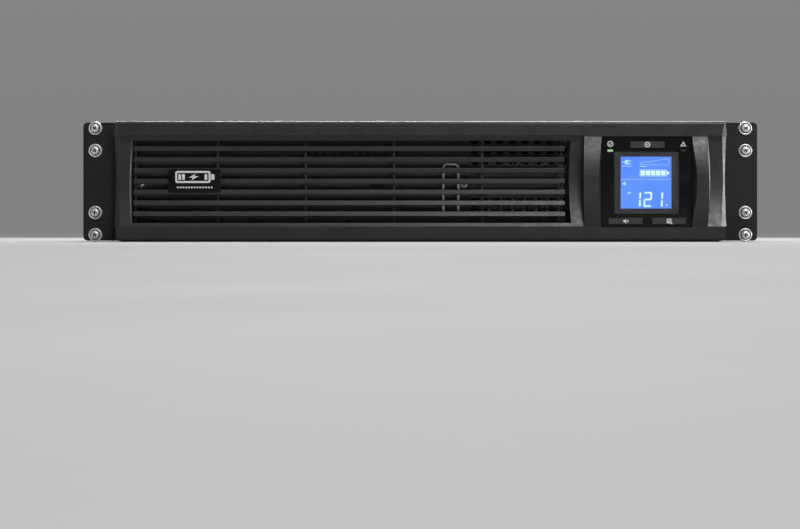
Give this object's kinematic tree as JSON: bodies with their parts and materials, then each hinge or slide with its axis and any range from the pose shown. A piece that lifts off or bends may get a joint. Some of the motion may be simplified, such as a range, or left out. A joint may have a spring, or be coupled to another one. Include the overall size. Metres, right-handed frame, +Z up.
{
  "type": "uninterruptible power supply",
  "caption": "Rack-mount uninterruptible power supply, two rack units high, with a louvred pull-off bezel, a lit display with keys, a battery drawer and a fan.",
  "frame": {"origin": "middle of the width and the depth, at the height of the chassis underside", "axes": "+X to the right of someone facing the front, -Y out of the front, +Z up"},
  "size_m": [0.4826, 0.407, 0.086],
  "materials": {
    "charcoal_plastic": "fine spark-eroded texture, satin",
    "black_gloss": "smooth gloss",
    "black_steel": "fine-grained powder coat",
    "bare_steel": "zinc-plated, satin",
    "nickel": "nickel-plated, bright",
    "aluminium": "extruded, satin",
    "copper": "enamelled wire under tape",
    "battery_plastic": "moulded, satin",
    "board_green": "solder mask, satin",
    "clear_window": "tinted, polished",
    "display_blue": "lit blue display",
    "light_green": "lit green light pipe",
    "matte_red": "moulded, matte"
  },
  "bodies": {
    "chassis": {"chassis_tray": "black_steel", "top_cover": "black_steel", "front_frame": "black_steel", "rear_panel": "black_steel", "bay_divider": "bare_steel", "drawer_guide": "bare_steel", "rack_ear_left": "black_steel", "rack_ear_right": "black_steel", "rack_screw_left_1": "nickel", "rack_screw_left_2": "nickel", "rack_screw_left_3": "nickel", "rack_screw_left_4": "nickel", "rack_screw_right_1": "nickel", "rack_screw_right_2": "nickel", "rack_screw_right_3": "nickel", "rack_screw_right_4": "nickel", "display_housing": "black_gloss", "display_window": "clear_window", "lcd_cell": "display_blue", "display_board": "board_green", "online_light": "light_green", "fault_light": "black_gloss", "battery_socket": "battery_plastic", "main_board": "board_green", "capacitor_1": "battery_plastic", "capacitor_2": "battery_plastic", "output_relay": "charcoal_plastic", "heat_sink": "aluminium", "transformer_core": "bare_steel", "transformer_winding": "copper", "transformer_cradle": "black_steel", "fan_housing": "charcoal_plastic", "fan_guard": "nickel", "power_inlet": "charcoal_plastic", "outlet_bank_upper": "charcoal_plastic", "outlet_bank_lower": "charcoal_plastic", "usb_port": "bare_steel", "network_port": "charcoal_plastic", "breaker_body": "charcoal_plastic", "ground_screw": "nickel"},
    "bezel": {"front_bezel": "charcoal_plastic", "louvre_insert": "charcoal_plastic", "badge_plate": "black_gloss"},
    "battery_drawer": {"battery_door": "black_steel", "door_screw_left": "nickel", "door_screw_right": "nickel", "door_handle": "nickel", "battery_tray": "bare_steel", "battery_1": "battery_plastic", "battery_2": "battery_plastic", "battery_3": "battery_plastic", "battery_4": "battery_plastic", "battery_plug": "matte_red", "battery_leads": "matte_red"},
    "fan_wheel": {"fan_rotor": "charcoal_plastic"},
    "power_key": {"power_button": "black_gloss"},
    "mute_key": {"mute_button": "black_gloss"},
    "menu_key": {"menu_button": "black_gloss"},
    "reset_key": {"breaker_button": "charcoal_plastic"}
  },
  "joints": [
    {"name": "bezel_pull", "type": "slide", "parent": "chassis", "child": "bezel", "axis": [0, -1, 0], "range_m": [0, 0.38]},
    {"name": "battery_pull", "type": "slide", "parent": "chassis", "child": "battery_drawer", "axis": [0, -1, 0], "range_m": [0, 0.305]},
    {"name": "fan_spin", "type": "hinge", "parent": "chassis", "child": "fan_wheel", "pos_m": [0.166, 0.186, 0.043], "axis": [0, 1, 0], "continuous": true},
    {"name": "power_press", "type": "slide", "parent": "chassis", "child": "power_key", "axis": [0, 1, 0], "range_m": [0, 0.0008], "stiffness_N_per_m": 600},
    {"name": "mute_press", "type": "slide", "parent": "chassis", "child": "mute_key", "axis": [0, 1, 0], "range_m": [0, 0.0008], "stiffness_N_per_m": 600},
    {"name": "menu_press", "type": "slide", "parent": "chassis", "child": "menu_key", "axis": [0, 1, 0], "range_m": [0, 0.0008], "stiffness_N_per_m": 600},
    {"name": "breaker_reset", "type": "slide", "parent": "chassis", "child": "reset_key", "axis": [0, -1, 0], "range_m": [0, 0.002], "stiffness_N_per_m": 600}
  ],
  "couplings": [
    {"joint": "battery_pull", "follows": "bezel_pull", "ratio": 0.8}
  ]
}
